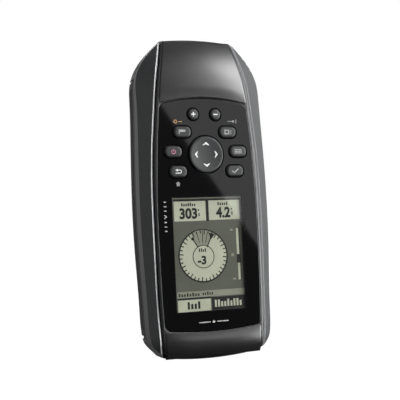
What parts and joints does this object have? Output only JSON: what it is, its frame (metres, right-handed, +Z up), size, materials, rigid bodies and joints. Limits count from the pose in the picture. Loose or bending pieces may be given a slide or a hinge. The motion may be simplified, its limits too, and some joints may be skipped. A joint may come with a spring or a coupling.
{
  "type": "handheld gps navigator",
  "caption": "Upright handheld satellite navigator: sealed two-part shell, glossy front lens over a portrait display and keypad, rocker pad, rear battery door with a D-ring latch.",
  "frame": {"origin": "bottom centre of the whole object's box", "axes": "+Z up along the body, -Y out of the screen, +Y out of the battery door, +X to the right seen from the front"},
  "size_m": [0.066, 0.03, 0.1546],
  "materials": {
    "shell_plastic": "fine moulded texture",
    "grip_rubber": "matte",
    "black_rubber": "matte",
    "bezel_plastic": "satin",
    "lens_glass": "polished",
    "mask_ink": "gloss black print",
    "key_rubber": "satin",
    "steel": "plain",
    "latch_steel": "satin",
    "screw_steel": "blackened",
    "silicone": "matte",
    "display": "reflective display",
    "diffuser": "milky",
    "tray_plastic": "moulded",
    "flex_film": "film",
    "board": "solder mask",
    "chip": "moulded",
    "ceramic_patch": "fired",
    "cell_wrap": "printed sleeve",
    "door_plastic": "fine moulded texture"
  },
  "bodies": {
    "housing": {"front_shell": "shell_plastic", "rear_shell": "shell_plastic", "right_grip": "grip_rubber", "left_grip": "grip_rubber", "shell_gasket": "black_rubber", "front_bezel": "bezel_plastic", "lens_window": "lens_glass", "lens_mask": "mask_ink", "keypad_mat": "silicone", "dome_switches": "steel", "lcd_panel": "display", "backlight_panel": "diffuser", "lcd_tray": "tray_plastic", "lcd_flex": "flex_film", "main_board": "board", "board_chips": "chip", "shield_can": "steel", "coin_cell": "steel", "beeper": "chip", "antenna_plate": "steel", "antenna_patch": "ceramic_patch", "port_board": "board", "port_header": "chip", "usb_socket": "steel", "battery_left": "cell_wrap", "battery_right": "cell_wrap", "battery_springs": "steel", "battery_contacts": "steel", "lanyard_bar": "steel", "case_screws": "screw_steel", "board_screws": "steel"},
    "rocker_gimbal": {"rocker_pivot": "steel"},
    "rocker": {"rocker_pad": "key_rubber"},
    "battery_cover": {"battery_door": "door_plastic", "door_gasket": "black_rubber"},
    "latch": {"latch_knob": "latch_steel", "latch_clip": "steel", "latch_tongue": "steel"},
    "ring": {"d_ring": "latch_steel"},
    "flap": {"port_flap": "black_rubber"},
    "key_zoom_in": {"key_zoom_in": "key_rubber"},
    "key_zoom_out": {"key_zoom_out": "key_rubber"},
    "key_mark": {"key_mark": "key_rubber"},
    "key_page": {"key_page": "key_rubber"},
    "key_power": {"key_power": "key_rubber"},
    "key_menu": {"key_menu": "key_rubber"},
    "key_back": {"key_back": "key_rubber"},
    "key_select": {"key_select": "key_rubber"}
  },
  "joints": [
    {"name": "key_zoom_in_press", "type": "slide", "parent": "housing", "child": "key_zoom_in", "axis": [0, 1, 0], "range_m": [0, 0.0005], "stiffness_N_per_m": 1500},
    {"name": "key_zoom_out_press", "type": "slide", "parent": "housing", "child": "key_zoom_out", "axis": [0, 1, 0], "range_m": [0, 0.0005], "stiffness_N_per_m": 1500},
    {"name": "key_mark_press", "type": "slide", "parent": "housing", "child": "key_mark", "axis": [0, 1, 0], "range_m": [0, 0.0005], "stiffness_N_per_m": 1500},
    {"name": "key_page_press", "type": "slide", "parent": "housing", "child": "key_page", "axis": [0, 1, 0], "range_m": [0, 0.0005], "stiffness_N_per_m": 1500},
    {"name": "key_power_press", "type": "slide", "parent": "housing", "child": "key_power", "axis": [0, 1, 0], "range_m": [0, 0.0005], "stiffness_N_per_m": 1500},
    {"name": "key_menu_press", "type": "slide", "parent": "housing", "child": "key_menu", "axis": [0, 1, 0], "range_m": [0, 0.0005], "stiffness_N_per_m": 1500},
    {"name": "key_back_press", "type": "slide", "parent": "housing", "child": "key_back", "axis": [0, 1, 0], "range_m": [0, 0.0005], "stiffness_N_per_m": 1500},
    {"name": "key_select_press", "type": "slide", "parent": "housing", "child": "key_select", "axis": [0, 1, 0], "range_m": [0, 0.0005], "stiffness_N_per_m": 1500},
    {"name": "rocker_tilt_updown", "type": "hinge", "parent": "housing", "child": "rocker_gimbal", "pos_m": [0, -0.009, 0.0973], "axis": [1, 0, 0], "range_deg": [-3, 3], "stiffness_Nm_per_rad": 0.05},
    {"name": "rocker_tilt_sideways", "type": "hinge", "parent": "rocker_gimbal", "child": "rocker", "pos_m": [0, -0.009, 0.0973], "axis": [0, 0, 1], "range_deg": [-3, 3], "stiffness_Nm_per_rad": 0.05},
    {"name": "battery_door_tilt", "type": "hinge", "parent": "housing", "child": "battery_cover", "pos_m": [0, 0.0125, 0.0927], "axis": [1, 0, 0], "range_deg": [0, 20]},
    {"name": "latch_turn", "type": "hinge", "parent": "battery_cover", "child": "latch", "pos_m": [0, 0.012, 0.0177], "axis": [0, 1, 0], "range_deg": [0, 90]},
    {"name": "ring_flip", "type": "hinge", "parent": "latch", "child": "ring", "pos_m": [0, 0.01395, 0.0177], "axis": [1, 0, 0], "range_deg": [0, 90]},
    {"name": "port_flap_bend", "type": "hinge", "parent": "housing", "child": "flap", "pos_m": [0, 0.01415, 0.1212], "axis": [1, 0, 0], "range_deg": [0, 110]}
  ]
}
